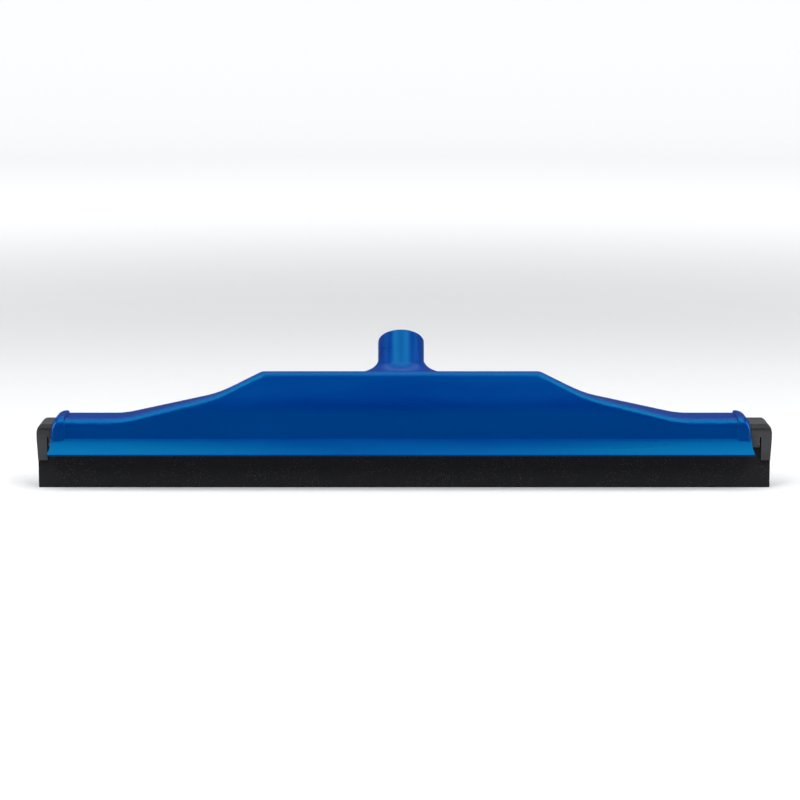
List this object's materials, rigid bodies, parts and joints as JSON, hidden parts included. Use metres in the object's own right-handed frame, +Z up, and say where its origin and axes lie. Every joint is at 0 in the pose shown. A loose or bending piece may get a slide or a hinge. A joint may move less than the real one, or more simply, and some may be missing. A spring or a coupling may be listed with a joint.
{
  "type": "floor squeegee head",
  "caption": "Wide floor squeegee head: blue moulded frame with a leaning handle socket and a slide-out cassette of two black foam blades.",
  "frame": {"origin": "on the floor, under the middle of the head's length and depth", "axes": "+X along the blades to the right, +Y to the back, where the handle socket leans, +Z up"},
  "size_m": [0.5052, 0.0696, 0.1053],
  "materials": {
    "frame_plastic": "satin moulded polypropylene",
    "cassette_plastic": "matt extruded polypropylene",
    "cap_plastic": "matt moulded polypropylene",
    "foam_rubber": "closed-cell foam rubber, skinned"
  },
  "bodies": {
    "frame": {"frame": "frame_plastic"},
    "cassette": {"cassette_rail": "cassette_plastic", "front_blade": "foam_rubber", "rear_blade": "foam_rubber", "left_end_cap": "cap_plastic", "right_end_cap": "cap_plastic"},
    "right_front_latch": {"right_front_latch": "cap_plastic"},
    "right_rear_latch": {"right_rear_latch": "cap_plastic"},
    "left_front_latch": {"left_front_latch": "cap_plastic"},
    "left_rear_latch": {"left_rear_latch": "cap_plastic"}
  },
  "joints": [
    {"name": "cassette_slide", "type": "slide", "parent": "frame", "child": "cassette", "axis": [1, 0, 0], "range_m": [-0.0044, 0.495], "deforming": ["left_front_latch", "left_rear_latch"]},
    {"name": "right_front_press", "type": "hinge", "parent": "cassette", "child": "right_front_latch", "pos_m": [0.23901, -0.02358, 0.0348], "axis": [1, 0, 0], "range_deg": [0, 10], "stiffness_Nm_per_rad": 0.02},
    {"name": "right_rear_press", "type": "hinge", "parent": "cassette", "child": "right_rear_latch", "pos_m": [0.23901, -0.00048, 0.0348], "axis": [-1, 0, 0], "range_deg": [0, 10], "stiffness_Nm_per_rad": 0.02},
    {"name": "left_front_press", "type": "hinge", "parent": "cassette", "child": "left_front_latch", "pos_m": [-0.23901, -0.02358, 0.0348], "axis": [1, 0, 0], "range_deg": [0, 10], "stiffness_Nm_per_rad": 0.02},
    {"name": "left_rear_press", "type": "hinge", "parent": "cassette", "child": "left_rear_latch", "pos_m": [-0.23901, -0.00048, 0.0348], "axis": [-1, 0, 0], "range_deg": [0, 10], "stiffness_Nm_per_rad": 0.02}
  ]
}
